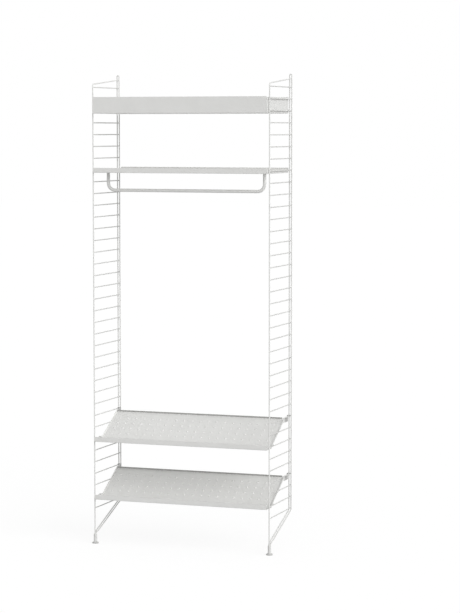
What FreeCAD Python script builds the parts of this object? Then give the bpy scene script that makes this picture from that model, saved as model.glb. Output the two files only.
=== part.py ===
"""Hallway shelf: two wire ladder panels with a tray, a hat shelf with a rail and two shoe shelves.

Millimetres. X runs to the right, Y towards the wall and Z up. The origin is on the floor,
midway between the panels and midway between the front of the shelves and the wall.
"""
import FreeCAD, Part
import math
import os
import Sketcher

DOCUMENT_NAME = "HallwayShelf"
SHEET_NAME = "Sizes"

# Sizes that can be set by themselves
DRIVING_SIZES = {
    # Ladder panels
    "panel_spacing": 791.0,
    "panel_depth": 277.5,
    "front_wire_dia": 5.0,
    "rear_wire_dia": 5.0,
    "rung_dia": 4.4,
    "weld_gap": 0.05,
    "rung_pitch": 50.0,
    "rung_count": 37,
    "lowest_rung_height": 153.5,
    "top_bend_radius": 9.0,
    "top_bend_gap": 1.8,
    "top_run_rise": 22.6,
    "loop_over_run": 21.9,
    "rear_bend_drop": 7.0,
    "rear_bend_radius": 8.0,
    # Feet
    "gather_gap": 0.6,
    "gather_axis_gap": 0.4,
    "gather_run": 35.0,
    "knee_rise": 6.0,
    "wire_seat_depth": 10.0,
    "wire_fit": 0.1,
    "socket_wall": 1.0,
    "socket_length": 33.0,
    "socket_chamfer": 0.6,
    "pad_dia": 28.5,
    "pad_thickness": 5.0,
    "pad_chamfer": 1.0,
    "hub_dia": 15.0,
    "hub_rise": 1.5,
    "stud_dia": 6.0,
    "stud_chamfer": 0.6,
    "stud_floor": 1.5,
    "stud_roof": 1.7,
    "running_gap": 0.3,
    # Folded sheet
    "front_overhang": 20.0,
    "side_rung_gap": 3.3,
    "sheet": 1.2,
    "inner_bend": 1.0,
    "floor_drop": 11.0,
    "corner_strip": 6.0,
    "corner_gap": 2.0,
    "side_rear_gap": 20.0,
    "front_corner_radius": 4.5,
    "tray_height": 69.5,
    "tray_side_height": 67.0,
    "tray_dip_drop": 6.0,
    "tray_dip_run": 10.0,
    "hat_height": 21.0,
    "hat_hook_strip": 0.3,
    "hat_dip_drop": 2.0,
    "hat_dip_run": 6.0,
    # Rungs that carry each shelf, counted up from the lowest rung
    "tray_rung_count": 34,
    "hat_rung_count": 29,
    "upper_shoe_rung_count": 6,
    "lower_shoe_rung_count": 1,
    "shoe_rise_rung_count": 2,
    # Hooks
    "hook_width": 5.0,
    "hook_leg": 4.8,
    "hook_window_side_gap": 0.4,
    "hook_window_foot": 1.0,
    "front_hook_setback": 41.0,
    "rear_hook_setback": 29.5,
    # Clothes rail
    "rail_dia": 14.0,
    "rail_wall": 1.2,
    "rail_side_gap": 37.6,
    "rail_setback": 83.0,
    "rail_drop": 75.0,
    "rail_bend_radius": 30.0,
    "insert_length": 14.0,
    "insert_fit": 0.1,
    "screw_dia": 4.0,
    "screw_length": 12.0,
    "screw_head_dia": 8.0,
    "screw_head_height": 2.2,
    "screw_hole_fit": 0.2,
    # Shoe shelves
    "shoe_drop": 10.0,
    "lip_height": 21.0,
    "toe_depth": 70.0,
    "slope_side_gap": 3.7,
    "slope_rear_gap": 52.8,
    "slope_rear_drop": 9.2,
    "slope_relief": 4.5,
    "rear_fold": 9.0,
    "fold_side_gap": 8.3,
    "web_depth": 0.5,
    "cheek_height": 5.0,
    "ear_width": 12.0,
    "ear_front_gap": 1.0,
    "ear_rear_gap": 3.0,
    "arm_top_drop": 2.0,
    "arm_drop": 24.0,
    "pip_dia": 10.0,
    "pip_height": 2.2,
    "pip_taper_angle": 45.0,
    "pip_column_count": 20,
    "pip_side_margin": 31.8,
    "pip_row_count": 4,
    "pip_front_margin": 47.7,
    "pip_rear_margin": 45.8,
}

# Sizes and places worked out from the ones above
DERIVED_SIZES = {
    # Ladder panels
    "panel_half": "panel_spacing / 2",
    "front_wire_radius": "front_wire_dia / 2",
    "rear_wire_radius": "rear_wire_dia / 2",
    "rung_radius": "rung_dia / 2",
    "pair_half": "(rear_wire_dia + rung_dia) / 2 + weld_gap",
    "shelf_depth": "front_overhang + panel_depth + rear_wire_radius",
    "wall_plane": "shelf_depth / 2",
    "rear_pair": "wall_plane - rear_wire_radius",
    "front_wire": "rear_pair - panel_depth",
    "top_rung_height": "lowest_rung_height + (rung_count - 1) * rung_pitch",
    "top_corner_height": "top_rung_height + rung_radius + top_bend_radius + top_bend_gap",
    "top_run_end_height": "top_corner_height + top_run_rise",
    "pair_notch": "max(0; rear_wire_radius ^ 2 - (pair_half - front_wire_radius) ^ 2)",
    "top_run_end": "rear_pair - sqrt(pair_notch) - weld_gap",
    "loop_top": "top_run_end_height + loop_over_run",
    "loop_centre_height": "loop_top - rear_wire_radius - pair_half",
    "rear_bend_height": "lowest_rung_height - rear_bend_drop",
    "rung_start": "front_wire + front_wire_radius + weld_gap",
    "rung_length": "wall_plane - rung_start",
    # Feet
    "front_seat_radius": "front_wire_radius + wire_fit",
    "rear_seat_radius": "rear_wire_radius + wire_fit",
    "gather_reach": "front_wire_radius + rear_wire_radius + gather_gap",
    "gather_half": "rear_wire_radius + gather_gap / 2",
    "gather_spread": "sqrt(gather_reach ^ 2 - gather_half ^ 2)",
    "foot_setback": "front_wire_radius + gather_axis_gap",
    "foot_axis": "front_wire + foot_setback",
    "gather_back": "gather_spread - foot_setback",
    "gather_wire": "foot_axis + gather_back",
    "front_seat_reach": "foot_setback + front_seat_radius",
    "rear_seat_reach": "sqrt(gather_half ^ 2 + gather_back ^ 2) + rear_seat_radius",
    "socket_radius": "max(front_seat_reach; rear_seat_reach) + socket_wall",
    "socket_top_radius": "socket_radius - socket_chamfer",
    "hub_radius": "hub_dia / 2",
    "hub_top": "pad_thickness + hub_rise",
    "socket_bottom": "hub_top + running_gap",
    "socket_top": "socket_bottom + socket_length",
    "socket_shoulder": "socket_top - socket_chamfer",
    "wire_seat": "socket_top - wire_seat_depth",
    "knee_height": "socket_top + knee_rise",
    "stud_radius": "stud_dia / 2",
    "stud_bore_radius": "stud_radius + running_gap",
    "stud_bore_top": "wire_seat - stud_roof",
    "stud_top": "stud_bore_top - running_gap",
    "stud_bottom": "stud_floor + running_gap",
    "pad_radius": "pad_dia / 2",
    # Folded sheet
    "half_width": "panel_half - rung_radius - side_rung_gap",
    "shelf_width": "2 * half_width",
    "outer_bend": "inner_bend + sheet",
    "floor_half_width": "half_width - corner_strip",
    "floor_width": "2 * floor_half_width",
    "side_inner": "half_width - sheet",
    "side_front": "sheet + corner_gap - wall_plane",
    "side_rear": "wall_plane - side_rear_gap",
    "side_length": "side_rear - side_front",
    "tray_rung_height": "lowest_rung_height + tray_rung_count * rung_pitch",
    "hat_rung_height": "lowest_rung_height + hat_rung_count * rung_pitch",
    # Hooks
    "hook_under": "rung_radius + running_gap",
    "hook_top": "hook_under + sheet",
    "hook_tip": "hook_top - hook_leg",
    "hook_leg_inner": "panel_half + rung_radius + running_gap",
    "hook_leg_outer": "hook_leg_inner + sheet",
    "hook_window_half": "hook_width / 2 + hook_window_side_gap",
    "hook_window_bottom": "outer_bend - floor_drop + hook_window_foot",
    "front_hook": "front_wire + front_hook_setback",
    "rear_hook": "rear_pair - rear_hook_setback",
    "hat_side_height": "floor_drop + hook_top + hat_hook_strip",
    # Clothes rail
    "rail_radius": "rail_dia / 2",
    "rail_bore_radius": "rail_radius - rail_wall",
    "rail_leg_half_span": "half_width - rail_side_gap",
    "rail_line": "rail_setback - wall_plane",
    "rail_top": "hat_rung_height - floor_drop",
    "rail_axis_height": "rail_top - rail_drop",
    "insert_radius": "rail_bore_radius - insert_fit",
    "screw_radius": "screw_dia / 2",
    "screw_head_radius": "screw_head_dia / 2",
    "screw_hole_radius": "screw_radius + screw_hole_fit",
    # Shoe shelves
    "rear_rung_rise": "shoe_rise_rung_count * rung_pitch",
    "lip_top": "lip_height - shoe_drop",
    "toe_end": "toe_depth - wall_plane",
    "slope_end": "wall_plane - slope_rear_gap",
    "slope_end_rise": "rear_rung_rise - slope_rear_drop",
    "slope_angle": "atan((slope_end_rise + shoe_drop) / (slope_end - toe_end))",
    "slope_cos": "cos(slope_angle)",
    "slope_sin": "sin(slope_angle)",
    "slope_tan": "tan(slope_angle)",
    "slope_length": "(slope_end - toe_end) / slope_cos",
    "slope_half_width": "half_width - slope_side_gap",
    "slope_width": "2 * slope_half_width",
    "fold_half_width": "slope_half_width - fold_side_gap",
    "fold_width": "2 * fold_half_width",
    "toe_top_end": "toe_end - sheet * tan(slope_angle / 2)",
    "slope_top_end": "slope_end - sheet * slope_sin",
    "slope_top_end_rise": "slope_end_rise + sheet * slope_cos",
    "relief_end": "slope_end - slope_relief * slope_cos",
    "relief_end_rise": "slope_end_rise - slope_relief * slope_sin",
    "relief_top_end": "relief_end - sheet * slope_sin",
    "relief_top_end_rise": "relief_end_rise + sheet * slope_cos",
    "fold_tip": "slope_end - rear_fold * slope_sin",
    "fold_tip_rise": "slope_end_rise + rear_fold * slope_cos",
    "fold_inner_tip": "fold_tip - sheet * slope_cos",
    "fold_inner_tip_rise": "fold_tip_rise - sheet * slope_sin",
    "fold_root": "slope_top_end - sheet * slope_cos",
    "fold_root_rise": "slope_top_end_rise - sheet * slope_sin",
    "upper_shoe_rung_height": "lowest_rung_height + upper_shoe_rung_count * rung_pitch",
    "lower_shoe_rung_height": "lowest_rung_height + lower_shoe_rung_count * rung_pitch",
    # Pips
    "pip_radius": "pip_dia / 2",
    "pip_first_column": "slope_half_width - pip_side_margin",
    "pip_column_run": "2 * pip_first_column",
    "pip_row_run": "slope_length - pip_front_margin - pip_rear_margin",
    "pip_row_pitch": "pip_row_run / (pip_row_count - 1)",
    # Shoe shelf end brackets
    "bracket_outer": "slope_half_width + sheet",
    "ear_front": "toe_end + ear_front_gap",
    "ear_back": "ear_front + ear_width",
    "ear_front_centre": "ear_front + ear_width / 2",
    "cheek_over": "(sheet + cheek_height) / slope_cos - shoe_drop",
    "ear_back_rise": "(ear_back - toe_end) * slope_tan + cheek_over",
    "web_under": "shoe_drop + web_depth / slope_cos",
    "ear_front_low": "(ear_front - toe_end) * slope_tan - web_under",
    "arm_top": "rear_rung_rise - arm_top_drop",
    "arm_bottom": "rear_rung_rise - arm_drop",
    "arm_top_start": "toe_end + (arm_top - cheek_over) / slope_tan",
    "arm_foot": "toe_end + (arm_bottom + web_under) / slope_tan",
    "rear_ear_top": "rear_rung_rise + hook_under",
    "rear_ear_back": "rear_pair - rear_wire_radius - ear_rear_gap",
    "rear_ear_front": "rear_ear_back - ear_width",
    "rear_ear_centre": "rear_ear_back - ear_width / 2",
}

doc = FreeCAD.newDocument(DOCUMENT_NAME)
sheet = doc.addObject("Spreadsheet::Sheet", SHEET_NAME)


def fill_sheet():
    """Put every size in the sheet under its own alias."""
    rows = [(name, str(value)) for name, value in DRIVING_SIZES.items()]
    rows += [(name, "=" + formula) for name, formula in DERIVED_SIZES.items()]
    for row, (name, content) in enumerate(rows, start=1):
        sheet.set(f"A{row}", name)
        sheet.set(f"B{row}", content)
        sheet.setAlias(f"B{row}", name)
    doc.recompute()


def amount(text):
    """Value of a sum of named sizes, such as 'half_width - sheet'."""
    total = 0.0
    sign = 1.0
    for word in text.split():
        if word in ("+", "-"):
            sign = 1.0 if word == "+" else -1.0
        elif word != "0":
            total += sign * float(sheet.get(word))
    return total


def bound(text):
    """The same sum as an expression on the sheet."""
    words = [word if word in ("+", "-", "0") else f"{SHEET_NAME}.{word}" for word in text.split()]
    return " ".join(words)


def opposite(text):
    """The same sum with every sign turned round."""
    words = text.split()
    if words[0] not in ("+", "-"):
        words = ["+"] + words
    turned = {"+": "-", "-": "+"}
    return " ".join(turned.get(word, word) for word in words)


def on_side(text, side):
    """A place across the shelf: as given on the right, mirrored on the left."""
    return text if side > 0 else opposite(text)


# Sketch helpers

def new_body(label, along=None, height=None):
    """A body with its own label, moved along X and up by sums of named sizes."""
    body = doc.addObject("PartDesign::Body", label)
    body.Label = label
    if along is not None:
        body.setExpression("Placement.Base.x", bound(along))
    if height is not None:
        body.setExpression("Placement.Base.z", bound(height))
    return body


def new_sketch(body, name, plane, offset=None):
    """A sketch on one of the body's own planes, moved along that plane's normal."""
    sketch = body.newObject("Sketcher::SketchObject", name)
    role = plane + "_Plane"
    support = next(item for item in body.Origin.OriginFeatures if item.Role == role)
    sketch.AttachmentSupport = [(support, "")]
    sketch.MapMode = "FlatFace"
    if offset is not None:
        sketch.setExpression("AttachmentOffset.Base.z", bound(offset))
    return sketch


def place_point(rules, geometry, position, across, up):
    """Rules that hold one point of a sketch at two sums of named sizes."""
    axes = (("DistanceX", -2, across), ("DistanceY", -1, up))
    for kind, axis, text in axes:
        if text == "0":
            rules.append((Sketcher.Constraint("PointOnObject", geometry, position, axis), None))
        else:
            rule = Sketcher.Constraint(kind, -1, 1, geometry, position, amount(text))
            rules.append((rule, bound(text)))


def apply_rules(sketch, rules):
    """Add the rules and bind those that carry an expression."""
    first = sketch.ConstraintCount
    sketch.addConstraint([rule for rule, _ in rules])
    for index, (_, expression) in enumerate(rules, start=first):
        if expression is not None:
            sketch.setExpression(f"Constraints[{index}]", expression)


def round_corner(before, corner, after, radius):
    """Tangent points and arc of a rounded corner, the arc running anticlockwise."""
    to_before = (before - corner).normalize()
    to_after = (after - corner).normalize()
    half_angle = to_before.getAngle(to_after) / 2
    start = corner + to_before * (radius / math.tan(half_angle))
    finish = corner + to_after * (radius / math.tan(half_angle))
    centre = corner + (to_before + to_after).normalize() * (radius / math.sin(half_angle))
    start_angle = math.atan2(start.y - centre.y, start.x - centre.x)
    finish_angle = math.atan2(finish.y - centre.y, finish.x - centre.x)
    forward = (finish_angle - start_angle) % (2 * math.pi) < math.pi
    first, last = (start_angle, finish_angle) if forward else (finish_angle, start_angle)
    if last < first:
        last += 2 * math.pi
    circle = Part.Circle(centre, FreeCAD.Vector(0, 0, 1), radius)
    return start, finish, Part.ArcOfCircle(circle, first, last), forward


def draw(sketch, corners, closed=True):
    """Straight runs through the corners (across, up[, radius]), rounded where a radius is given."""
    points = [FreeCAD.Vector(amount(corner[0]), amount(corner[1]), 0) for corner in corners]
    count = len(points)
    starts = list(points)
    finishes = list(points)
    arcs = {}
    for index, (_, _, *radius) in enumerate(corners):
        if radius:
            before = points[index - 1]
            after = points[(index + 1) % count]
            finish, start, arc, forward = round_corner(before, points[index], after, amount(radius[0]))
            finishes[index] = finish
            starts[index] = start
            arcs[index] = (arc, forward)
    runs = count if closed else count - 1
    first = sketch.GeometryCount
    lines = [Part.LineSegment(starts[run], finishes[(run + 1) % count]) for run in range(runs)]
    sketch.addGeometry(lines, False)
    rules = []
    for index, corner in enumerate(corners):
        line_in = first + (index - 1) % count
        line_out = first + index
        if index in arcs:
            arc, forward = arcs[index]
            arc_index = sketch.addGeometry(arc, False)
            point_index = sketch.addGeometry(Part.Point(points[index]), True)
            near, far = (1, 2) if forward else (2, 1)
            rules.append((Sketcher.Constraint("Tangent", line_in, 2, arc_index, near), None))
            rules.append((Sketcher.Constraint("Tangent", arc_index, far, line_out, 1), None))
            rules.append((Sketcher.Constraint("PointOnObject", point_index, 1, line_in), None))
            rules.append((Sketcher.Constraint("PointOnObject", point_index, 1, line_out), None))
            rules.append((Sketcher.Constraint("Radius", arc_index, amount(corner[2])), bound(corner[2])))
            place_point(rules, point_index, 1, corner[0], corner[1])
        elif index == count - 1 and not closed:
            place_point(rules, line_in, 2, corner[0], corner[1])
        else:
            if closed or index > 0:
                rules.append((Sketcher.Constraint("Coincident", line_in, 2, line_out, 1), None))
            place_point(rules, line_out, 1, corner[0], corner[1])
    apply_rules(sketch, rules)


def draw_circle(sketch, across, up, radius):
    """A circle held by its centre and radius."""
    centre = FreeCAD.Vector(amount(across), amount(up), 0)
    index = sketch.addGeometry(Part.Circle(centre, FreeCAD.Vector(0, 0, 1), amount(radius)), False)
    rules = [(Sketcher.Constraint("Radius", index, amount(radius)), bound(radius))]
    place_point(rules, index, 3, across, up)
    apply_rules(sketch, rules)


def box_corners(left, right, bottom, top):
    """Corners of an upright rectangle."""
    return [(left, bottom), (right, bottom), (right, top), (left, top)]


# Feature helpers

def pad(body, name, sketch, length, midplane=False, reverse=False):
    """A pad of the sketch with a bound length."""
    feature = body.newObject("PartDesign::Pad", name)
    feature.Profile = sketch
    feature.SideType = "Symmetric" if midplane else "One side"
    feature.Reversed = reverse
    feature.setExpression("Length", bound(length))
    sketch.Visibility = False
    body.Tip = feature
    doc.recompute()
    return feature


def pocket(body, name, sketch, length, midplane=False, reverse=False):
    """A pocket of the sketch that has to take material away."""
    before = body.Shape.Volume
    feature = body.newObject("PartDesign::Pocket", name)
    feature.Profile = sketch
    feature.SideType = "Symmetric" if midplane else "One side"
    feature.Reversed = reverse
    feature.setExpression("Length", bound(length))
    sketch.Visibility = False
    body.Tip = feature
    doc.recompute()
    if body.Shape.Volume >= before:
        raise RuntimeError(f"{body.Label}: {name} cut nothing")
    return feature


def revolve(body, name, sketch):
    """A full turn of the sketch about its upright axis."""
    feature = body.newObject("PartDesign::Revolution", name)
    feature.Profile = sketch
    feature.ReferenceAxis = (sketch, ["V_Axis"])
    feature.Angle = 360.0
    body.Tip = feature
    doc.recompute()
    return feature


def sweep(body, name, profile, path):
    """A pipe of the profile along the path."""
    feature = body.newObject("PartDesign::AdditivePipe", name)
    feature.Profile = profile
    feature.Spine = path
    body.Tip = feature
    doc.recompute()
    return feature


def repeat(body, name, feature, direction, run, occurrences):
    """The feature repeated along one axis over a bound run."""
    pattern = body.newObject("PartDesign::LinearPattern", name)
    pattern.Originals = [feature]
    pattern.Direction = direction
    pattern.setExpression("Length", bound(run))
    pattern.Occurrences = occurrences
    body.Tip = pattern
    doc.recompute()
    return pattern


def compound(label, pieces):
    """Identical loose pieces that share one node."""
    group = doc.addObject("Part::Compound", label)
    group.Label = label
    group.Links = pieces
    return group


# Ladder panels

def front_wire(label, along):
    """Front upright, bent over the top and run back to the rear pair."""
    body = new_body(label, along)
    path = new_sketch(body, label + "_path", "YZ")
    corners = [
        ("front_wire", "wire_seat"),
        ("front_wire", "top_corner_height", "top_bend_radius"),
        ("top_run_end", "top_run_end_height"),
    ]
    draw(path, corners, closed=False)
    profile = new_sketch(body, label + "_section", "XY", "wire_seat")
    draw_circle(profile, "0", "front_wire", "front_wire_radius")
    sweep(body, label + "_pipe", profile, path)
    return body


def bent_edges(points, radius):
    """Straight edges through the points with a tangent arc at each inner point."""
    edges = []
    start = points[0]
    for before, corner, after in zip(points, points[1:], points[2:]):
        to_before = (before - corner).normalize()
        to_after = (after - corner).normalize()
        half_angle = to_before.getAngle(to_after) / 2
        reach = radius / math.tan(half_angle)
        centre = corner + (to_before + to_after).normalize() * (radius / math.sin(half_angle))
        middle = centre + (corner - centre).normalize() * radius
        edges.append(Part.LineSegment(start, corner + to_before * reach).toShape())
        edges.append(Part.Arc(corner + to_before * reach, middle, corner + to_after * reach).toShape())
        start = corner + to_after * reach
    edges.append(Part.LineSegment(start, points[-1]).toShape())
    return edges


def hairpin_leg(side):
    """Points of one leg of the rear wire, from its seat in the foot up to the loop."""
    gather_share = amount("gather_run") / (amount("rear_pair") - amount("gather_wire"))
    gather_rise = gather_share * (amount("rear_bend_height") - amount("knee_height"))
    narrow = side * amount("gather_half")
    wide = side * amount("pair_half")
    return [
        FreeCAD.Vector(narrow, amount("gather_wire"), amount("wire_seat")),
        FreeCAD.Vector(narrow, amount("gather_wire"), amount("knee_height")),
        FreeCAD.Vector(wide, amount("gather_wire + gather_run"), amount("knee_height") + gather_rise),
        FreeCAD.Vector(wide, amount("rear_pair"), amount("rear_bend_height")),
        FreeCAD.Vector(wide, amount("rear_pair"), amount("loop_centre_height")),
    ]


def rear_wire(label, along):
    """One wire bent to a hairpin: two uprights that gather in the foot socket."""
    radius = amount("rear_bend_radius")
    right_leg = bent_edges(hairpin_leg(1), radius)
    left_leg = bent_edges(hairpin_leg(-1)[::-1], radius)
    loop_height = amount("loop_centre_height")
    loop = Part.Arc(
        FreeCAD.Vector(amount("pair_half"), amount("rear_pair"), loop_height),
        FreeCAD.Vector(0, amount("rear_pair"), loop_height + amount("pair_half")),
        FreeCAD.Vector(-amount("pair_half"), amount("rear_pair"), loop_height),
    )
    path = Part.Wire(right_leg + [loop.toShape()] + left_leg)
    seat = hairpin_leg(1)[0]
    section = Part.Wire(Part.makeCircle(amount("rear_wire_radius"), seat, FreeCAD.Vector(0, 0, 1)))
    feature = doc.addObject("Part::Feature", label)
    feature.Label = label
    feature.Shape = path.makePipeShell([section], True, False)
    feature.setExpression("Placement.Base.x", bound(along))
    return feature


def rungs(label, along):
    """Cross wires between the front wire and the rear pair, one per step of the pitch."""
    pieces = []
    for step in range(int(amount("rung_count"))):
        rung = doc.addObject("Part::Cylinder", f"{label}_{step + 1}")
        rung.setExpression("Radius", bound("rung_radius"))
        rung.setExpression("Height", bound("rung_length"))
        rung.Placement.Rotation = FreeCAD.Rotation(FreeCAD.Vector(1, 0, 0), -90)
        rung.setExpression("Placement.Base.x", bound(along))
        rung.setExpression("Placement.Base.y", bound("rung_start"))
        height = f"{SHEET_NAME}.lowest_rung_height + {step} * {SHEET_NAME}.rung_pitch"
        rung.setExpression("Placement.Base.z", height)
        pieces.append(rung)
    return compound(label, pieces)


# Feet

def foot_body(label, along):
    """A body on the foot's upright axis."""
    body = new_body(label, along)
    body.setExpression("Placement.Base.y", bound("foot_axis"))
    return body


def foot_socket(label, along):
    """Barrel that takes the three wire ends from above and the stud from below."""
    body = foot_body(label, along)
    section = new_sketch(body, label + "_section", "XZ")
    corners = [
        ("stud_bore_radius", "socket_bottom"),
        ("socket_radius", "socket_bottom"),
        ("socket_radius", "socket_shoulder"),
        ("socket_top_radius", "socket_top"),
        ("0", "socket_top"),
        ("0", "stud_bore_top"),
        ("stud_bore_radius", "stud_bore_top"),
    ]
    draw(section, corners)
    revolve(body, label + "_turn", section)
    seats = new_sketch(body, label + "_seats", "XY", "socket_top")
    draw_circle(seats, "0", "- foot_setback", "front_seat_radius")
    draw_circle(seats, "gather_half", "gather_back", "rear_seat_radius")
    draw_circle(seats, "- gather_half", "gather_back", "rear_seat_radius")
    pocket(body, label + "_wire_seats", seats, "wire_seat_depth")
    return body


def foot_stud(label, along):
    """Threaded stud, drawn plain."""
    body = foot_body(label, along)
    section = new_sketch(body, label + "_section", "XZ")
    corners = [
        ("0", "stud_bottom"),
        ("stud_radius - stud_chamfer", "stud_bottom"),
        ("stud_radius", "stud_bottom + stud_chamfer"),
        ("stud_radius", "stud_top - stud_chamfer"),
        ("stud_radius - stud_chamfer", "stud_top"),
        ("0", "stud_top"),
    ]
    draw(section, corners)
    revolve(body, label + "_turn", section)
    return body


def foot_pad(label, along):
    """Round foot disc with a raised hub that holds the stud."""
    body = foot_body(label, along)
    section = new_sketch(body, label + "_section", "XZ")
    corners = [
        ("0", "0"),
        ("pad_radius - pad_chamfer", "0"),
        ("pad_radius", "pad_chamfer"),
        ("pad_radius", "pad_thickness - pad_chamfer"),
        ("pad_radius - pad_chamfer", "pad_thickness"),
        ("hub_radius", "pad_thickness"),
        ("hub_radius - hub_rise", "hub_top"),
        ("stud_bore_radius", "hub_top"),
        ("stud_bore_radius", "stud_floor"),
        ("0", "stud_floor"),
    ]
    draw(section, corners)
    revolve(body, label + "_turn", section)
    return body


# Tray and hat shelf

def hook_outline(root, side):
    """Tab that leaves the side at root, lies over the rung and drops outside it."""
    corners = [
        (root, "hook_under"),
        ("hook_leg_inner", "hook_under"),
        ("hook_leg_inner", "hook_tip"),
        ("hook_leg_outer", "hook_tip"),
        ("hook_leg_outer", "hook_top", "inner_bend"),
        (root, "hook_top"),
    ]
    return [(on_side(corner[0], side),) + corner[1:] for corner in corners]


def folded_tray(label, rung_height, height, side_height, dip_drop, dip_run):
    """Floor with folded front, rear and side walls, and hooks lanced out of the sides."""
    body = new_body(label, height=rung_height)
    base = "- floor_drop"
    floor_top = "sheet - floor_drop"
    top = height + " - floor_drop"
    side_top = side_height + " - floor_drop"

    # Floor with the front and rear walls
    section = new_sketch(body, label + "_section", "YZ")
    corners = [
        ("- wall_plane", top),
        ("- wall_plane", base, "outer_bend"),
        ("wall_plane", base, "outer_bend"),
        ("wall_plane", top),
        ("wall_plane - sheet", top),
        ("wall_plane - sheet", floor_top, "inner_bend"),
        ("sheet - wall_plane", floor_top, "inner_bend"),
        ("sheet - wall_plane", top),
    ]
    draw(section, corners)
    pad(body, label + "_floor", section, "floor_width", midplane=True)

    # Front face across the full width, with rounded upper corners
    face = new_sketch(body, label + "_face", "XZ", "wall_plane")
    low = "outer_bend - floor_drop"
    corners = [
        ("- half_width", low),
        ("half_width", low),
        ("half_width", top, "front_corner_radius"),
        ("- half_width", top, "front_corner_radius"),
    ]
    draw(face, corners)
    pad(body, label + "_front", face, "sheet", reverse=True)

    # Side walls folded up from the floor
    folds = new_sketch(body, label + "_folds", "XZ", opposite("side_front"))
    for side in (1, -1):
        corners = [
            ("floor_half_width", base),
            ("half_width", base, "outer_bend"),
            ("half_width", side_top),
            ("side_inner", side_top),
            ("side_inner", floor_top, "inner_bend"),
            ("floor_half_width", floor_top),
        ]
        draw(folds, [(on_side(corner[0], side),) + corner[1:] for corner in corners])
    pad(body, label + "_sides", folds, "side_length", reverse=True)

    # Dips behind the front corners
    dips = new_sketch(body, label + "_dips", "YZ")
    corners = [
        ("side_front", side_top + " - " + dip_drop),
        ("side_front + " + dip_run, side_top),
        ("side_front", side_top),
    ]
    draw(dips, corners)
    pocket(body, label + "_dip", dips, "shelf_width", midplane=True)

    # Windows that the hooks are lanced from
    windows = new_sketch(body, label + "_windows", "YZ")
    for hook in ("front_hook", "rear_hook"):
        left = hook + " - hook_window_half"
        right = hook + " + hook_window_half"
        draw(windows, box_corners(left, right, "hook_window_bottom", "hook_under"))
    pocket(body, label + "_lance", windows, "shelf_width", midplane=True)

    # Hooks
    for name, hook in (("front", "front_hook"), ("rear", "rear_hook")):
        tabs = new_sketch(body, f"{label}_{name}_tabs", "XZ", opposite(hook))
        for side in (1, -1):
            draw(tabs, hook_outline("side_inner", side))
        pad(body, f"{label}_{name}_hooks", tabs, "hook_width", midplane=True)
    return body


def rail_screw_holes(body):
    """Two clearance holes in the hat shelf floor, over the ends of the rail."""
    holes = new_sketch(body, "rail_hole_sketch", "XY", opposite("floor_drop"))
    for side in (1, -1):
        draw_circle(holes, on_side("rail_leg_half_span", side), "rail_line", "screw_hole_radius")
    pocket(body, "rail_holes", holes, "sheet", reverse=True)


# Clothes rail

def clothes_rail(label):
    """Tube bent down from the hat shelf, across and up again."""
    body = new_body(label)
    path = new_sketch(body, label + "_path", "XZ", opposite("rail_line"))
    corners = [
        ("- rail_leg_half_span", "rail_top"),
        ("- rail_leg_half_span", "rail_axis_height", "rail_bend_radius"),
        ("rail_leg_half_span", "rail_axis_height", "rail_bend_radius"),
        ("rail_leg_half_span", "rail_top"),
    ]
    draw(path, corners, closed=False)
    profile = new_sketch(body, label + "_section", "XY", "rail_top")
    draw_circle(profile, "- rail_leg_half_span", "rail_line", "rail_radius")
    draw_circle(profile, "- rail_leg_half_span", "rail_line", "rail_bore_radius")
    sweep(body, label + "_tube", profile, path)
    return body


def turned_piece(name, side, section):
    """A turned piece on the axis of one end of the rail: stacked (radius, bottom, length)."""
    cylinders = []
    for step, (radius, bottom, length) in enumerate(section, start=1):
        cylinder = doc.addObject("Part::Cylinder", f"{name}_{step}")
        cylinder.setExpression("Radius", bound(radius))
        cylinder.setExpression("Height", bound(length))
        cylinder.setExpression("Placement.Base.x", bound(on_side("rail_leg_half_span", side)))
        cylinder.setExpression("Placement.Base.y", bound("rail_line"))
        cylinder.setExpression("Placement.Base.z", bound(bottom))
        cylinders.append(cylinder)
    return cylinders


def rail_inserts(label):
    """Plugs in the open ends of the rail, bored for the screws."""
    pieces = []
    for side, name in ((1, "right"), (-1, "left")):
        plug, bore = turned_piece(f"{name}_insert", side, [
            ("insert_radius", "rail_top - insert_length", "insert_length"),
            ("screw_hole_radius", "rail_top - insert_length", "insert_length"),
        ])
        piece = doc.addObject("Part::Cut", f"{name}_insert")
        piece.Base = plug
        piece.Tool = bore
        pieces.append(piece)
    return compound(label, pieces)


def rail_screws(label):
    """Screws from above, with their heads on the hat shelf floor."""
    pieces = []
    for side, name in ((1, "right"), (-1, "left")):
        head, shank = turned_piece(f"{name}_screw", side, [
            ("screw_head_radius", "rail_top + sheet", "screw_head_height"),
            ("screw_radius", "rail_top + sheet - screw_length", "screw_length"),
        ])
        piece = doc.addObject("Part::Fuse", f"{name}_screw")
        piece.Base = head
        piece.Tool = shank
        pieces.append(piece)
    return compound(label, pieces)


# Shoe shelves

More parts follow.
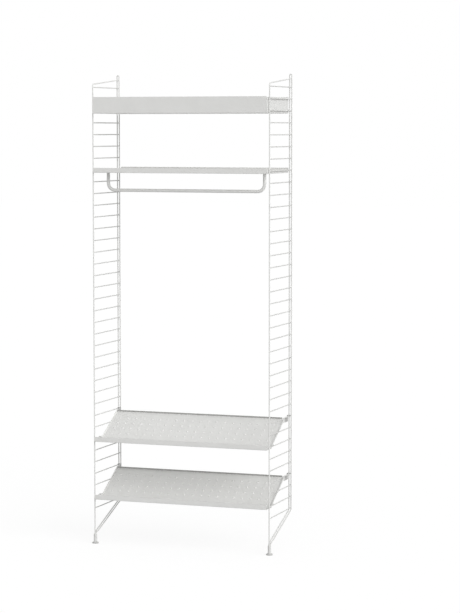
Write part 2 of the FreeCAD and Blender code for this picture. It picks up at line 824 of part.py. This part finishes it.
def shoe_shelf(label, rung_height):
    """Folded plate: front lip, flat toe strip, sloping plate and a folded rear edge."""
    body = new_body(label, height=rung_height)
    base = "- shoe_drop"
    floor_top = "sheet - shoe_drop"
    lip_and_toe = [
        ("- wall_plane", "lip_top"),
        ("- wall_plane", base, "outer_bend"),
        ("toe_end", base, "outer_bend"),
    ]
    toe_and_lip_inside = [
        ("toe_top_end", floor_top, "inner_bend"),
        ("sheet - wall_plane", floor_top, "inner_bend"),
        ("sheet - wall_plane", "lip_top"),
    ]

    # Lip, toe strip, slope and rear fold as one bent sheet
    section = new_sketch(body, label + "_section", "YZ")
    fold = [
        ("slope_end", "slope_end_rise", "outer_bend"),
        ("fold_tip", "fold_tip_rise"),
        ("fold_inner_tip", "fold_inner_tip_rise"),
        ("fold_root", "fold_root_rise", "inner_bend"),
    ]
    draw(section, lip_and_toe + fold + toe_and_lip_inside)
    pad(body, label + "_bent_sheet", section, "fold_width", midplane=True)

    # Slope at its full width, stopping short of the rear fold
    slope = new_sketch(body, label + "_slope", "YZ")
    relief = [("relief_end", "relief_end_rise"), ("relief_top_end", "relief_top_end_rise")]
    draw(slope, lip_and_toe + relief + toe_and_lip_inside)
    pad(body, label + "_slope_plate", slope, "slope_width", midplane=True)

    # Lip and toe strip at the shelf's full width
    toe = new_sketch(body, label + "_toe", "YZ")
    corners = [
        ("- wall_plane", "lip_top"),
        ("- wall_plane", base, "outer_bend"),
        ("toe_top_end", base),
        ("toe_top_end", floor_top),
        ("sheet - wall_plane", floor_top, "inner_bend"),
        ("sheet - wall_plane", "lip_top"),
    ]
    draw(toe, corners)
    pad(body, label + "_toe_strip", toe, "shelf_width", midplane=True)
    shoe_pips(body, label)
    return body


def shoe_pips(body, label):
    """Low round pips in a grid on the slope, narrower upwards, one column repeated across it."""
    column = new_sketch(body, label + "_pip_column", "XY")
    column.AttachmentOffset = FreeCAD.Placement(
        FreeCAD.Vector(0, 0, 0), FreeCAD.Rotation(FreeCAD.Vector(1, 0, 0), amount("slope_angle")))
    column.setExpression("AttachmentOffset.Base.y", bound("toe_top_end"))
    column.setExpression("AttachmentOffset.Base.z", bound("sheet - shoe_drop"))
    column.setExpression("AttachmentOffset.Rotation.Angle", bound("slope_angle"))
    for row in range(int(amount("pip_row_count"))):
        place = "pip_front_margin" + " + pip_row_pitch" * row
        draw_circle(column, "- pip_first_column", place, "pip_radius")
    pips = pad(body, label + "_pips", column, "pip_height")
    pips.setExpression("TaperAngle", f"-{SHEET_NAME}.pip_taper_angle")
    columns = int(amount("pip_column_count"))
    repeat(body, label + "_pip_grid", pips, (column, ["H_Axis"]), "pip_column_run", columns)


def shoe_bracket(label, side, rung_height):
    """End plate of a shoe shelf: a low cheek along the slope, an arm behind it and two hooks."""
    body = new_body(label, height=rung_height)
    web = new_sketch(body, label + "_web", "YZ", "slope_half_width" if side > 0 else "- bracket_outer")
    corners = [
        ("ear_front", "ear_front_low"),
        ("arm_foot", "arm_bottom"),
        ("rear_ear_back", "arm_bottom"),
        ("rear_ear_back", "rear_ear_top"),
        ("rear_ear_front", "rear_ear_top"),
        ("rear_ear_front", "arm_top"),
        ("arm_top_start", "arm_top"),
        ("ear_back", "ear_back_rise"),
        ("ear_back", "hook_under"),
        ("ear_front", "hook_under"),
    ]
    draw(web, corners)
    pad(body, label + "_plate", web, "sheet")
    hooks = (("front", "ear_front_centre", "0"), ("rear", "rear_ear_centre", "rear_rung_rise"))
    for name, place, rise in hooks:
        tabs = new_sketch(body, f"{label}_{name}_tab", "XZ", opposite(place))
        corners = [(c[0], c[1] + " + " + rise) + c[2:] for c in hook_outline("slope_half_width", side)]
        draw(tabs, corners)
        pad(body, f"{label}_{name}_hook", tabs, "ear_width", midplane=True)
    return body


# Assembly

def build():
    """Every separate piece of the object, as (node name, object)."""
    nodes = []
    for prefix, along in (("left", "- panel_half"), ("right", "panel_half")):
        nodes.append(front_wire(prefix + "_front_wire", along))
        nodes.append(rear_wire(prefix + "_rear_wire", along))
        nodes.append(rungs(prefix + "_rungs", along))
        nodes.append(foot_socket(prefix + "_foot_socket", along))
        nodes.append(foot_stud(prefix + "_foot_stud", along))
        nodes.append(foot_pad(prefix + "_foot_pad", along))
    nodes.append(folded_tray("top_tray", "tray_rung_height", "tray_height", "tray_side_height",
                             "tray_dip_drop", "tray_dip_run"))
    hat_shelf = folded_tray("hat_shelf", "hat_rung_height", "hat_height", "hat_side_height",
                            "hat_dip_drop", "hat_dip_run")
    rail_screw_holes(hat_shelf)
    nodes.append(hat_shelf)
    nodes.append(clothes_rail("clothes_rail"))
    nodes.append(rail_inserts("rail_inserts"))
    nodes.append(rail_screws("rail_screws"))
    for prefix in ("upper", "lower"):
        rung_height = prefix + "_shoe_rung_height"
        nodes.append(shoe_shelf(prefix + "_shoe_shelf", rung_height))
        nodes.append(shoe_bracket(prefix + "_shoe_left_bracket", -1, rung_height))
        nodes.append(shoe_bracket(prefix + "_shoe_right_bracket", 1, rung_height))
    return nodes


def check(nodes):
    """Stop unless every object recomputed and every node is a valid shape."""
    for item in doc.Objects:
        if "Invalid" in item.State or "Error" in item.State:
            raise RuntimeError(f"{item.Label}: {item.State}")
    for node in nodes:
        if node.Shape.isNull() or not node.Shape.isValid():
            raise RuntimeError(f"{node.Label}: no valid shape")


fill_sheet()
all_nodes = build()
doc.recompute()
check(all_nodes)
os.makedirs("parts", exist_ok=True)
for node in all_nodes:
    node.Shape.exportStep(f"parts/{node.Label}.step")
    print(node.Label, len(node.Shape.Solids), round(node.Shape.Volume))
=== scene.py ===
"""Hallway shelf: finishes, welds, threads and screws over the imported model, and its studio.

Metres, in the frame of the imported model: X to the right, Y towards the wall, Z up from the floor.
"""
import bmesh
import bpy
import math
from mathutils import Matrix, Vector


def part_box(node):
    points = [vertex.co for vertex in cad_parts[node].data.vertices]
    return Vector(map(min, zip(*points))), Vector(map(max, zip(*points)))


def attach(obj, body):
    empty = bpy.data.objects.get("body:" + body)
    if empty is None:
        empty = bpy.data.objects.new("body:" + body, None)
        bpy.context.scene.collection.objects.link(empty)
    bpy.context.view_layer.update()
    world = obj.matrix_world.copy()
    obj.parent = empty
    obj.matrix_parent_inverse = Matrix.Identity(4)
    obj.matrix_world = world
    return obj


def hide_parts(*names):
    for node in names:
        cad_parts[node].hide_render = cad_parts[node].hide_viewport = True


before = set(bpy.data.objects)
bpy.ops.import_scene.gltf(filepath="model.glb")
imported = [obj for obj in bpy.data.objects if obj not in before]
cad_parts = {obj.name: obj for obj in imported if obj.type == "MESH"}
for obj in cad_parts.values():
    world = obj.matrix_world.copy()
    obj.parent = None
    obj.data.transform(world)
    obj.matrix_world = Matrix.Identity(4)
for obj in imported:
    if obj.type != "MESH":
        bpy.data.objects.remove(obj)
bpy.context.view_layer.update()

MM = 0.001
SIDES = {"left": -1, "right": 1}
WHITE = (1.0, 1.0, 1.0, 1.0)


# Node helpers

# The levels that Blender's noise mostly stays between
NOISE_LEVELS = (0.3, 0.7)

# Places of the colour sockets on a mix node
MIX_FIRST, MIX_SECOND, MIX_RESULT = 6, 7, 2


def new_material(name, metallic=0.0):
    """A node material, with its tree and its shader."""
    material = bpy.data.materials.new(name)
    material.use_nodes = True
    shader = material.node_tree.nodes["Principled BSDF"]
    shader.inputs["Metallic"].default_value = metallic
    return material, material.node_tree, shader


def noise(tree, size, detail, stretch=(1.0, 1.0, 1.0)):
    """Noise whose lumps are about size metres across, fixed to the object."""
    place = tree.nodes.new("ShaderNodeTexCoord")
    mapping = tree.nodes.new("ShaderNodeMapping")
    mapping.inputs["Scale"].default_value = stretch
    texture = tree.nodes.new("ShaderNodeTexNoise")
    texture.inputs["Scale"].default_value = 1.0 / size
    texture.inputs["Detail"].default_value = detail
    tree.links.new(place.outputs["Object"], mapping.inputs["Vector"])
    tree.links.new(mapping.outputs["Vector"], texture.inputs["Vector"])
    return texture.outputs["Fac"]


def ramp(tree, value, levels, low_colour, high_colour):
    """Colours blended between two levels of a value."""
    node = tree.nodes.new("ShaderNodeValToRGB")
    for element, level, colour in zip(node.color_ramp.elements, levels, (low_colour, high_colour)):
        element.position = level
        element.color = (*colour, 1.0)
    tree.links.new(value, node.inputs["Fac"])
    return node.outputs["Color"]


def span(tree, value, low, high):
    """A noise value spread over the range low to high."""
    node = tree.nodes.new("ShaderNodeMapRange")
    node.inputs["From Min"].default_value, node.inputs["From Max"].default_value = NOISE_LEVELS
    node.inputs["To Min"].default_value = low
    node.inputs["To Max"].default_value = high
    tree.links.new(value, node.inputs["Value"])
    return node.outputs["Result"]


def scaled(colour, factor):
    """A colour made lighter or darker."""
    return [channel * factor for channel in colour]


def blend_colours(tree, share, first, second):
    """The second colour over the first, by a varying share."""
    node = tree.nodes.new("ShaderNodeMix")
    node.data_type = "RGBA"
    tree.links.new(share, node.inputs["Factor"])
    tree.links.new(first, node.inputs[MIX_FIRST])
    tree.links.new(second, node.inputs[MIX_SECOND])
    return node.outputs[MIX_RESULT]


def calculate(tree, operation, first, second):
    """A maths node's result from a varying value and a second one, varying or plain."""
    node = tree.nodes.new("ShaderNodeMath")
    node.operation = operation
    tree.links.new(first, node.inputs[0])
    if isinstance(second, float):
        node.inputs[1].default_value = second
    else:
        tree.links.new(second, node.inputs[1])
    return node.outputs[0]


def bump(tree, shader, layers):
    """Stacked bump layers: (height value, depth in metres, strength)."""
    normal = None
    for height, depth, strength in layers:
        node = tree.nodes.new("ShaderNodeBump")
        node.inputs["Distance"].default_value = depth
        node.inputs["Strength"].default_value = strength
        tree.links.new(height, node.inputs["Height"])
        if normal is not None:
            tree.links.new(normal, node.inputs["Normal"])
        normal = node.outputs["Normal"]
    tree.links.new(normal, shader.inputs["Normal"])


def show_by_ray(tree, rays, seen, other, output):
    """Show one shader to the named kinds of ray, and another to all the rest."""
    path = tree.nodes.new("ShaderNodeLightPath")
    share = path.outputs[rays[0]]
    for ray in rays[1:]:
        share = calculate(tree, "MAXIMUM", share, path.outputs[ray])
    choose = tree.nodes.new("ShaderNodeMixShader")
    tree.links.new(share, choose.inputs["Fac"])
    tree.links.new(other.outputs[0], choose.inputs[1])
    tree.links.new(seen.outputs[0], choose.inputs[2])
    tree.links.new(choose.outputs[0], output.inputs["Surface"])


# Finishes

# Powder coats: both ends of the cloudy tone, the roughness, the size of the orange peel's lumps and
# the strength of the grain. The rungs and barrels are a little darker than the wires, as they
# measure in the photograph.
SHEET_COAT = {"pale": (0.78, 0.78, 0.765), "dark": (0.755, 0.755, 0.74),
              "rough": 0.48, "peel": 1.3 * MM, "grain": 0.30}
BARREL_COAT = {"pale": (0.70, 0.70, 0.69), "dark": (0.67, 0.67, 0.66),
               "rough": 0.45, "peel": 0.9 * MM, "grain": 0.22}
RUNG_COAT = {"pale": (0.67, 0.67, 0.655), "dark": (0.645, 0.645, 0.63),
             "rough": 0.42, "peel": 0.9 * MM, "grain": 0.22}
WIRE_COAT = {"pale": (0.75, 0.75, 0.735), "dark": (0.725, 0.725, 0.71),
             "rough": 0.42, "peel": 0.9 * MM, "grain": 0.22}
RAIL_COAT = {"pale": (0.80, 0.80, 0.785), "dark": (0.775, 0.775, 0.76),
             "rough": 0.36, "peel": 1.0 * MM, "grain": 0.15}

# What all powder coats share
CLOUD_SIZE = 60 * MM
CLOUD_LEVELS = (0.35, 0.65)
GRAIN_SIZE = 0.45 * MM
GRAIN_DEPTH = 0.02 * MM
SPECK_DARKER, SPECK_LIGHTER = 0.96, 1.02
SPECK_SHARE = (0.10, 0.40)
PEEL_DEPTH = 0.05 * MM
PEEL_STRENGTH = 0.30
SMOOTHER, ROUGHER = 0.05, 0.07

# Painted shade behind a depth: (tone, depth, way that the faces look, or None for all faces). It is
# painted on the inside of the slopes' rear folds and on the rear ends of the shoe brackets, which
# lie in shade.
# Painted shade on the inside of the slopes' rear folds
FOLD_PAINTED_SHADE = ((0.40, 0.40, 0.39), 80.0 * MM, (0.0, -0.88, -0.47))
# Painted shade on the rear ends of the shoe brackets
ARM_PAINTED_SHADE = ((0.46, 0.46, 0.45), 97.5 * MM, None)
PAINTED_SHADE_DARKER = 0.97
FACING_LIMIT = 0.8

PLASTIC_TONES = ((0.56, 0.56, 0.55), (0.60, 0.60, 0.59))
PLASTIC_ROUGHNESS = (0.42, 0.60)
PLASTIC_CLOUD_SIZE = 8 * MM
SKIN_SIZE = 0.3 * MM
SKIN_DEPTH = 0.04 * MM
SKIN_STRENGTH = 0.3

ZINC_TONES = ((0.52, 0.53, 0.54), (0.66, 0.67, 0.68))
ZINC_ROUGHNESS = (0.24, 0.42)
SPANGLE_SIZE = 1.5 * MM
MARK_SIZE = 0.25 * MM
MARK_STRETCH = (1.0, 1.0, 6.0)
MARK_DEPTH = 0.02 * MM
MARK_STRENGTH = 0.4


def painted_shade_mask(tree, depth, facing):
    """Where shade is painted: one behind a depth, on faces that look the given way if there is one,
    and zero elsewhere.
    """
    place = tree.nodes.new("ShaderNodeTexCoord")
    parts = tree.nodes.new("ShaderNodeSeparateXYZ")
    tree.links.new(place.outputs["Object"], parts.inputs["Vector"])
    behind = calculate(tree, "GREATER_THAN", parts.outputs["Y"], depth)
    if facing is None:
        return behind
    along = tree.nodes.new("ShaderNodeVectorMath")
    along.operation = "DOT_PRODUCT"
    along.inputs[1].default_value = facing
    tree.links.new(place.outputs["Normal"], along.inputs[0])
    turned = calculate(tree, "GREATER_THAN", along.outputs["Value"], FACING_LIMIT)
    return calculate(tree, "MULTIPLY", turned, behind)


def powder_coat(name, pale, dark, rough, peel, grain, rear=None):
    """Baked powder coat: soft cloudy tone with specks, orange peel and fine grain.

    Rear, where given, is painted shade: a darker grey behind a depth.
    """
    material, tree, shader = new_material(name)
    clouds = noise(tree, CLOUD_SIZE, detail=3.0)
    grains = noise(tree, GRAIN_SIZE, detail=3.0)
    ripples = noise(tree, peel, detail=2.0)
    tone = ramp(tree, clouds, CLOUD_LEVELS, dark, pale)
    speck = ramp(tree, grains, NOISE_LEVELS,
                 scaled(dark, SPECK_DARKER), scaled(pale, SPECK_LIGHTER))
    colour = blend_colours(tree, span(tree, grains, *SPECK_SHARE), tone, speck)
    # Painted shade: a darker grey blended over the coat behind a depth
    if rear:
        shade_tone, depth, facing = rear
        shade_colour = ramp(tree, clouds, CLOUD_LEVELS, scaled(shade_tone, PAINTED_SHADE_DARKER), shade_tone)
        colour = blend_colours(tree, painted_shade_mask(tree, depth, facing), colour, shade_colour)
    roughness = span(tree, ripples, rough - SMOOTHER, rough + ROUGHER)
    tree.links.new(colour, shader.inputs["Base Color"])
    tree.links.new(roughness, shader.inputs["Roughness"])
    bump(tree, shader, [(ripples, PEEL_DEPTH, PEEL_STRENGTH), (grains, GRAIN_DEPTH, grain)])
    return material


def foot_plastic():
    """Moulded pale plastic with a fine matt skin."""
    material, tree, shader = new_material("foot_plastic")
    clouds = noise(tree, PLASTIC_CLOUD_SIZE, detail=2.0)
    skin = noise(tree, SKIN_SIZE, detail=4.0)
    tree.links.new(ramp(tree, clouds, NOISE_LEVELS, *PLASTIC_TONES), shader.inputs["Base Color"])
    tree.links.new(span(tree, skin, *PLASTIC_ROUGHNESS), shader.inputs["Roughness"])
    bump(tree, shader, [(skin, SKIN_DEPTH, SKIN_STRENGTH)])
    return material


def zinc():
    """Bright zinc on steel, with fine turning marks and a faint spangle."""
    material, tree, shader = new_material("zinc_steel", metallic=1.0)
    spangle = noise(tree, SPANGLE_SIZE, detail=3.0)
    marks = noise(tree, MARK_SIZE, detail=2.0, stretch=MARK_STRETCH)
    tree.links.new(ramp(tree, spangle, NOISE_LEVELS, *ZINC_TONES), shader.inputs["Base Color"])
    tree.links.new(span(tree, marks, *ZINC_ROUGHNESS), shader.inputs["Roughness"])
    bump(tree, shader, [(marks, MARK_DEPTH, MARK_STRENGTH)])
    return material


steel_coat = powder_coat("powder_coated_steel", **SHEET_COAT)
# The slopes and the shoe brackets carry painted shade at their rear
slope_coat_with_painted_shade = powder_coat("powder_coat_with_painted_fold_shade", **SHEET_COAT, rear=FOLD_PAINTED_SHADE)
bracket_coat_with_painted_shade = powder_coat("powder_coat_with_painted_arm_shade", **SHEET_COAT, rear=ARM_PAINTED_SHADE)
barrel_coat = powder_coat("powder_coated_barrel", **BARREL_COAT)
rung_coat = powder_coat("powder_coated_rung", **RUNG_COAT)
wire_coat = powder_coat("powder_coated_wire", **WIRE_COAT)
rail_coat = powder_coat("powder_coated_rail", **RAIL_COAT)
plastic = foot_plastic()
zinc_plate = zinc()


def dress(node, material):
    """Give a carried-over node its finish."""
    mesh_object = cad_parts[node]
    mesh_object.data.materials.clear()
    mesh_object.data.materials.append(material)


for prefix in SIDES:
    dress(f"{prefix}_front_wire", wire_coat)
    dress(f"{prefix}_rear_wire", wire_coat)
    dress(f"{prefix}_rungs", rung_coat)
    dress(f"{prefix}_foot_socket", barrel_coat)
    dress(f"{prefix}_foot_pad", plastic)
for level in ("upper", "lower"):
    dress(f"{level}_shoe_shelf", slope_coat_with_painted_shade)
    for prefix in SIDES:
        dress(f"{level}_shoe_{prefix}_bracket", bracket_coat_with_painted_shade)
dress("top_tray", steel_coat)
dress("hat_shelf", steel_coat)
dress("clothes_rail", rail_coat)
dress("rail_inserts", zinc_plate)


# Mesh helpers

def make_piece(name, builder, material, body):
    """A mesh object from a filled bmesh, smooth, dressed and riding on a body."""
    mesh = bpy.data.meshes.new(name)
    builder.normal_update()
    builder.to_mesh(mesh)
    builder.free()
    mesh.materials.append(material)
    mesh.shade_smooth()
    piece = bpy.data.objects.new(name, mesh)
    bpy.context.scene.collection.objects.link(piece)
    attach(piece, body)
    return piece


def join_rings(builder, lower, upper):
    """Faces between two rings, of which one may be a single point."""
    count = max(len(lower), len(upper))
    for step in range(count):
        after = (step + 1) % count
        if len(lower) == 1:
            builder.faces.new((lower[0], upper[step], upper[after]))
        elif len(upper) == 1:
            builder.faces.new((lower[step], lower[after], upper[0]))
        else:
            builder.faces.new((lower[step], lower[after], upper[after], upper[step]))


def lathe(builder, profile, place, sides):
    """A full turn of (radius, height) points about an upright axis, closed where a radius is zero.

    It gives back the last ring of points.
    """
    angles = [2 * math.pi * step / sides for step in range(sides)]
    rings = []
    for radius, height in profile:
        if radius == 0:
            points = [(0, 0, height)]
        else:
            points = [(radius * math.cos(angle), radius * math.sin(angle), height)
                      for angle in angles]
        rings.append([builder.verts.new(place @ Vector(point)) for point in points])
    for lower, upper in zip(rings, rings[1:]):
        join_rings(builder, lower, upper)
    return rings[-1]


# Welds

# Ladder panels, as in the solids
PANEL_X = 395.5 * MM
FRONT_WIRE_Y = -130.0 * MM
REAR_PAIR_Y = 147.5 * MM
WIRE_RADIUS = 2.5 * MM
RUNG_RADIUS = 2.2 * MM
RUNG_COUNT = 37
RUNG_PITCH = 50.0 * MM
LOWEST_RUNG = 153.5 * MM

# Collar: (height over the rung, place along it from the back of the front wire), in millimetres
COLLAR_PROFILE = ((-0.05, -1.7), (0.30, -1.5), (0.55, -1.0), (0.62, 0.0),
                  (0.30, 0.55), (0.08, 1.1), (-0.05, 1.6))
COLLAR_SIDES = 16

# Bead: distances from the middle of the rear pair and of the rung, and half its size each way
BEAD_OUT = 2.35 * MM
BEAD_UP = 1.15 * MM
BEAD_SHAPE = (0.55 * MM, 1.5 * MM, 0.75 * MM, 1.0)
BEAD_DIVISIONS = 2


def weld_collars(prefix, side):
    """A small flared collar where each rung meets the front wire, and beads at the rear pair."""
    builder = bmesh.new()
    flare = [(RUNG_RADIUS + over * MM, along * MM) for over, along in COLLAR_PROFILE]
    lie_down = Matrix.Rotation(-math.pi / 2, 4, "X")
    for step in range(RUNG_COUNT):
        height = LOWEST_RUNG + step * RUNG_PITCH
        end = Vector((side * PANEL_X, FRONT_WIRE_Y + WIRE_RADIUS, height))
        lathe(builder, flare, Matrix.Translation(end) @ lie_down, COLLAR_SIDES)
        for out_by in (-BEAD_OUT, BEAD_OUT):
            for up_by in (-BEAD_UP, BEAD_UP):
                bead = Vector((side * PANEL_X + out_by, REAR_PAIR_Y, height + up_by))
                bmesh.ops.create_icosphere(
                    builder, subdivisions=BEAD_DIVISIONS, radius=1.0,
                    matrix=Matrix.Translation(bead) @ Matrix.Diagonal(BEAD_SHAPE))
    make_piece(f"{prefix}_welds", builder, wire_coat, "panels")


# Threads

THREAD_PITCH = 1.0 * MM
THREAD_DEPTH = 0.55 * MM
THREAD_STEPS = 28
# Height that the thread starts at, and the length of the stud that its full turns leave free
THREAD_START = 0.2 * MM
THREAD_SPARE = 1.4 * MM
# Both edges of the ridge's crest and the upper edge of its foot, above the lower edge of its foot
RIDGE_CREST = (0.40 * MM, 0.52 * MM)
RIDGE_FOOT = 0.92 * MM
# The core reaches a little past the foot of the ridge, so that no gap shows
CORE_OVERLAP = 0.02 * MM
CORE_BEVEL = 0.4 * MM


def thread(prefix):
    """The levelling foot's threaded stud: one helical ridge on a round core."""
    low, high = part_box(f"{prefix}_foot_stud")
    centre = ((low[0] + high[0]) / 2, (low[1] + high[1]) / 2)
    crest = (high[0] - low[0]) / 2
    root = crest - THREAD_DEPTH
    turns = int((high[2] - low[2] - THREAD_SPARE) / THREAD_PITCH)
    section = ((root, 0.0), (crest, RIDGE_CREST[0]), (crest, RIDGE_CREST[1]), (root, RIDGE_FOOT))
    builder = bmesh.new()
    rows = []
    for step in range(turns * THREAD_STEPS + 1):
        angle = 2 * math.pi * step / THREAD_STEPS
        climb = low[2] + THREAD_START + THREAD_PITCH * step / THREAD_STEPS
        rows.append([builder.verts.new((centre[0] + radius * math.cos(angle),
                                        centre[1] + radius * math.sin(angle), climb + rise))
                     for radius, rise in section])
    # The ridge
    for lower, upper in zip(rows, rows[1:]):
        for index in range(len(section) - 1):
            builder.faces.new((lower[index], upper[index], upper[index + 1], lower[index + 1]))
    # The groove between one turn and the next
    turn_above = rows[THREAD_STEPS:]
    for row, after, above, after_above in zip(rows, rows[1:], turn_above, turn_above[1:]):
        builder.faces.new((row[-1], after[-1], after_above[0], above[0]))
    # Both ends of the ridge, and the core
    builder.faces.new(rows[0])
    builder.faces.new(list(reversed(rows[-1])))
    core = root + CORE_OVERLAP
    profile = [(0, low[2]), (core - CORE_BEVEL, low[2]), (core, low[2] + CORE_BEVEL),
               (core, high[2] - CORE_BEVEL), (core - CORE_BEVEL, high[2]), (0, high[2])]
    lathe(builder, profile, Matrix.Translation((centre[0], centre[1], 0)), THREAD_STEPS)
    bmesh.ops.recalc_face_normals(builder, faces=builder.faces)
    stud = make_piece(f"{prefix}_threaded_stud", builder, zinc_plate,
                      f"{prefix}_foot_thread")
    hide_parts(f"{prefix}_foot_stud")


# Screws

SCREW_SIDES = 36
SHANK_RADIUS = 1.9 * MM
TIP_INSET = 0.5 * MM
TIP_HEIGHT = 0.6 * MM
HEAD_HEIGHT = 2.2 * MM
HEAD_EDGE_INSET = 0.1 * MM
HEAD_EDGE_HEIGHT = 0.25 * MM
# Crown of the head: (distance in from its rim, depth below its top)
HEAD_CROWN = ((0.05 * MM, 1.3 * MM), (0.5 * MM, 0.6 * MM), (1.3 * MM, 0.12 * MM), (1.9 * MM, 0.0))
# Socket: half its width between flats, and the depths of its mouth and its base below the top
SOCKET_HALF_WIDTH = 1.25 * MM
SOCKET_MOUTH = 0.02 * MM
SOCKET_DEPTH = 1.3 * MM


def socket_ring(builder, centre, height):
    """A ring of points on the six flats of a screw's socket."""
    ring = []
    for step in range(SCREW_SIDES):
        angle = 2 * math.pi * step / SCREW_SIDES
        from_flat = (angle % (math.pi / 3)) - math.pi / 6
        radius = SOCKET_HALF_WIDTH / math.cos(from_flat)
        ring.append(builder.verts.new((centre[0] + radius * math.cos(angle),
                                       centre[1] + radius * math.sin(angle), height)))
    return ring


def rail_screws():
    """Pan-head screws with six-sided sockets, through the hat shelf into the ends of the rail."""
    low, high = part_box("rail_screws")
    head_radius = (high[1] - low[1]) / 2
    reach = high[0] - head_radius
    top = high[2]
    underside = top - HEAD_HEIGHT
    profile = [(0, low[2]), (SHANK_RADIUS - TIP_INSET, low[2]),
               (SHANK_RADIUS, low[2] + TIP_HEIGHT), (SHANK_RADIUS, underside),
               (head_radius - HEAD_EDGE_INSET, underside),
               (head_radius, underside + HEAD_EDGE_HEIGHT)]
    profile += [(head_radius - inset, top - drop) for inset, drop in HEAD_CROWN]
    builder = bmesh.new()
    for side in SIDES.values():
        centre = (side * reach, (high[1] + low[1]) / 2)
        rim = lathe(builder, profile, Matrix.Translation((*centre, 0)), SCREW_SIDES)
        mouth = socket_ring(builder, centre, top - SOCKET_MOUTH)
        base = socket_ring(builder, centre, top - SOCKET_DEPTH)
        join_rings(builder, rim, mouth)
        join_rings(builder, mouth, base)
        builder.faces.new(base)
    bmesh.ops.recalc_face_normals(builder, faces=builder.faces)
    screws = make_piece("rail_head_screws", builder, zinc_plate, "hat_shelf_and_rail")
    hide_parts("rail_screws")


for prefix, side in SIDES.items():
    weld_collars(prefix, side)
    thread(prefix)
rail_screws()


# Floor

FLOOR_REACH = 40.0
FLOOR_DROP = 0.1 * MM

# What the camera and reflections see: a matt part for the shadow, and a glow that makes it white
FLOOR_TONE = (0.20, 0.20, 0.20, 1.0)
FLOOR_GLOW = 0.838

# What scattered rays meet: a matt pale floor that lights the object from below
FLOOR_BOUNCE = (0.55, 0.55, 0.55, 1.0)


def floor():
    """A wide pale floor that is white to the camera, keeps a soft shadow and bounces light."""
    builder = bmesh.new()
    bmesh.ops.create_grid(builder, x_segments=2, y_segments=2, size=FLOOR_REACH)
    mesh = bpy.data.meshes.new("floor")
    builder.to_mesh(mesh)
    builder.free()
    plane = bpy.data.objects.new("floor", mesh)
    plane.location.z = -FLOOR_DROP
    bpy.context.scene.collection.objects.link(plane)
    material = bpy.data.materials.new("floor")
    material.use_nodes = True
    tree = material.node_tree
    tree.nodes.clear()
    output = tree.nodes.new("ShaderNodeOutputMaterial")
    matt = tree.nodes.new("ShaderNodeBsdfDiffuse")
    matt.inputs["Color"].default_value = FLOOR_TONE
    bounce = tree.nodes.new("ShaderNodeBsdfDiffuse")
    bounce.inputs["Color"].default_value = FLOOR_BOUNCE
    glow = tree.nodes.new("ShaderNodeEmission")
    glow.inputs["Strength"].default_value = FLOOR_GLOW
    both = tree.nodes.new("ShaderNodeAddShader")
    tree.links.new(matt.outputs[0], both.inputs[0])
    tree.links.new(glow.outputs[0], both.inputs[1])
    show_by_ray(tree, ("Is Camera Ray", "Is Glossy Ray"), both, bounce, output)
    mesh.materials.append(material)


floor()


# Light: the lamps' levels were solved so that sheets, rail and wires match the photograph's tones

AMBIENT = 0.575
KEY_FROM = (0.82, -0.40, 0.42)
KEY_LEVEL = 0.522
KEY_SPREAD = math.radians(50)
FILL_FROM = (0.10, -0.98, 0.15)
FILL_LEVEL = 0.147
FILL_SPREAD = math.radians(60)


def sun_light(name, direction, level, spread):
    """Broad soft light from one side: a level of 1 shows a facing surface at its own colour."""
    lamp = bpy.data.lights.new(name, "SUN")
    lamp.energy = math.pi * level
    lamp.angle = spread
    holder = bpy.data.objects.new(name, lamp)
    holder.rotation_euler = Vector(direction).to_track_quat("Z", "Y").to_euler()
    bpy.context.scene.collection.objects.link(holder)


def world_light(ambient):
    """Even light all round, with plain white where it is seen or reflected."""
    world = bpy.data.worlds.new("studio")
    bpy.context.scene.world = world
    world.use_nodes = True
    tree = world.node_tree
    tree.nodes.clear()
    output = tree.nodes.new("ShaderNodeOutputWorld")
    lit = tree.nodes.new("ShaderNodeBackground")
    seen = tree.nodes.new("ShaderNodeBackground")
    for background, strength in ((lit, ambient), (seen, 1.0)):
        background.inputs["Color"].default_value = WHITE
        background.inputs["Strength"].default_value = strength
    rays = ("Is Camera Ray", "Is Glossy Ray", "Is Transmission Ray")
    show_by_ray(tree, rays, seen, lit, output)


world_light(AMBIENT)
sun_light("key", KEY_FROM, KEY_LEVEL, KEY_SPREAD)
sun_light("fill", FILL_FROM, FILL_LEVEL, FILL_SPREAD)


# Camera, at the angle and distance of the photograph

CAMERA_PLACE = (3.26995, -8.59202, 1.7723)
CAMERA_PITCH = math.radians(90 - 4.590)
CAMERA_TURN = math.radians(19.504)
CAMERA_LENS = 127.03
CAMERA_SENSOR = 36.0
CAMERA_SHIFT = (-0.0188, -0.0043)

lens = bpy.data.cameras.new("camera")
lens.lens = CAMERA_LENS
lens.sensor_width = CAMERA_SENSOR
lens.shift_x, lens.shift_y = CAMERA_SHIFT
camera = bpy.data.objects.new("camera", lens)
camera.location = CAMERA_PLACE
camera.rotation_euler = (CAMERA_PITCH, 0.0, CAMERA_TURN)
bpy.context.scene.collection.objects.link(camera)
bpy.context.scene.camera = camera
bpy.context.scene.view_settings.view_transform = "Standard"
